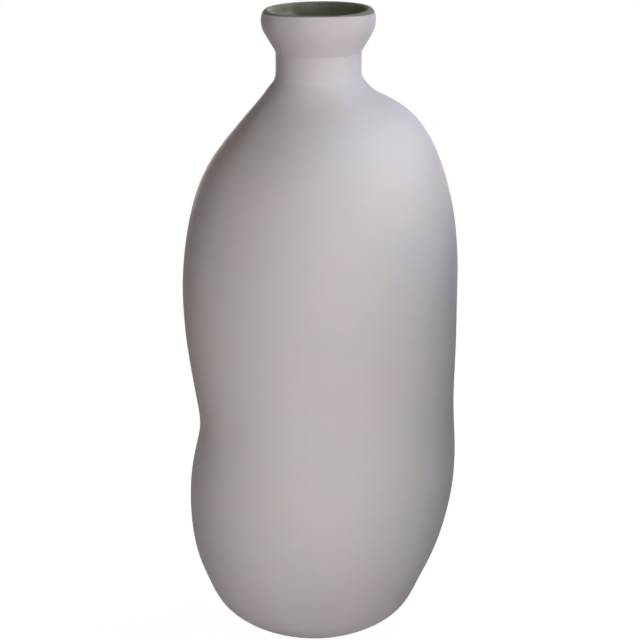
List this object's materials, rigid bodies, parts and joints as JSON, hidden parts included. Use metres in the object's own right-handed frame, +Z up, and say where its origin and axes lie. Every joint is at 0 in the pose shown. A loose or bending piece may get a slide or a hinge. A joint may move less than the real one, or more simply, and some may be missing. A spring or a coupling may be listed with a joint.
{
  "type": "bottle vase",
  "caption": "Tall mouth-blown glass bottle vase with a dented, wandering outline, a short neck and a flared collar, sprayed matt greige outside over dark smoky glass.",
  "frame": {"origin": "on the table, below the middle of the belly", "axes": "+Z up along the vase; -Y towards the side that the picture shows, with the waist at its left; +X to the right of that view"},
  "size_m": [0.2198, 0.2119, 0.51],
  "materials": {
    "smoke_glass": "bare dark smoky glass, glossy",
    "coat": "sprayed greige lacquer, satin matt"
  },
  "bodies": {
    "root": {"glass_vessel": "smoke_glass", "glass_collar": "smoke_glass", "matte_coat": "coat"}
  },
  "joints": []
}
